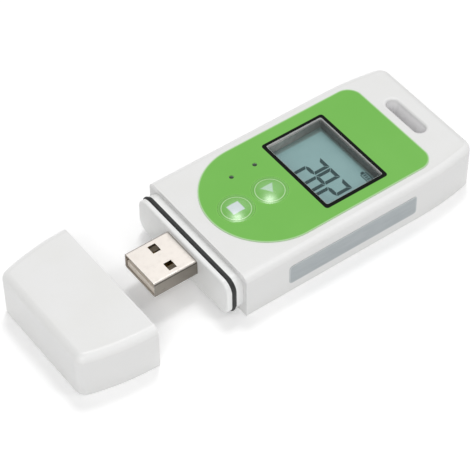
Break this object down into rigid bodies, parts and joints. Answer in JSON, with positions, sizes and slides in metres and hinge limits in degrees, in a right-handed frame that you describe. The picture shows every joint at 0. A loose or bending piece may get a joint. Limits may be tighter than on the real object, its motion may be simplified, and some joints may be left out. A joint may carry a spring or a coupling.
{
  "type": "temperature data logger",
  "caption": "Pocket temperature logger with a display, two domed buttons, a hang slot and a USB plug under a pull-off cap.",
  "frame": {"origin": "middle of the back face of the case, without plug and cap", "axes": "+X along the case towards the hang slot, +Z out of the display, +Y across the case; the plug and the cap point to -X"},
  "size_m": [0.1122, 0.0383, 0.0136],
  "materials": {
    "case_plastic": "white moulded plastic with a fine satin surface",
    "cap_plastic": "white moulded plastic with a fine satin surface",
    "cover_plastic": "white moulded plastic, satin",
    "collar_plastic": "cooler white moulded plastic, half gloss",
    "key_plastic": "white moulded plastic",
    "seal_rubber": "black rubber, dull",
    "screw_steel": "plated steel",
    "plug_steel": "nickel-plated sheet steel, soft shine",
    "plug_plastic": "white plastic tongue",
    "plug_gold": "gold-plated contacts",
    "film": "light green printed film with a satin face",
    "clear_window": "clear polyester film",
    "clear_dome": "clear domed film over the green print, glossy",
    "bezel_plastic": "grey-brown moulded plastic",
    "display_glass": "reflective liquid-crystal glass, grey-green",
    "zebra_rubber": "layered contact rubber",
    "board": "green solder resist",
    "cell_steel": "nickel-plated steel can",
    "spring_metal": "plated spring bronze",
    "switch_body": "black plastic",
    "switch_plunger": "black plastic",
    "light_pipe": "clear rod that looks dark while unlit",
    "ok_led": "clear resin over a green chip",
    "alarm_led": "clear resin over a red chip",
    "chip_resin": "black moulding resin",
    "crystal_can": "drawn metal can",
    "label": "silver-grey foil label, bare"
  },
  "bodies": {
    "case": {"front_case": "case_plastic", "rear_cover": "cover_plastic", "cover_gasket": "seal_rubber", "slot_gasket": "seal_rubber", "cover_screws": "screw_steel", "usb_collar": "collar_plastic", "collar_seal": "seal_rubber", "overlay": "film", "display_window": "clear_window", "display_bezel": "bezel_plastic", "display_panel": "display_glass", "contact_strips": "zebra_rubber", "circuit_board": "board", "battery": "cell_steel", "positive_contact": "spring_metal", "negative_contact": "spring_metal", "usb_shell": "plug_steel", "usb_tongue": "plug_plastic", "usb_contacts": "plug_gold", "start_switch": "switch_body", "stop_switch": "switch_body", "ok_light_pipe": "light_pipe", "alarm_light_pipe": "light_pipe", "ok_led": "ok_led", "alarm_led": "alarm_led", "processor": "chip_resin", "memory_chip": "chip_resin", "crystal": "crystal_can", "temperature_sensor": "chip_resin", "side_label": "label"},
    "cap": {"cap": "cap_plastic"},
    "battery_door": {"battery_door": "cover_plastic", "door_seal": "seal_rubber"},
    "start_button": {"start_button": "clear_dome", "start_key": "key_plastic", "start_plunger": "switch_plunger"},
    "stop_button": {"stop_button": "clear_dome", "stop_key": "key_plastic", "stop_plunger": "switch_plunger"}
  },
  "joints": [
    {"name": "cap_slide", "type": "slide", "parent": "case", "child": "cap", "axis": [1, 0, 0], "range_m": [0, 0.02405]},
    {"name": "start_press", "type": "slide", "parent": "case", "child": "start_button", "axis": [0, 0, -1], "range_m": [0, 0.0004], "stiffness_N_per_m": 800},
    {"name": "stop_press", "type": "slide", "parent": "case", "child": "stop_button", "axis": [0, 0, -1], "range_m": [0, 0.0004], "stiffness_N_per_m": 800},
    {"name": "battery_door_turn", "type": "hinge", "parent": "case", "child": "battery_door", "pos_m": [-0.0149, 0, 0.0006], "axis": [0, 0, -1], "range_deg": [0, 45]}
  ]
}
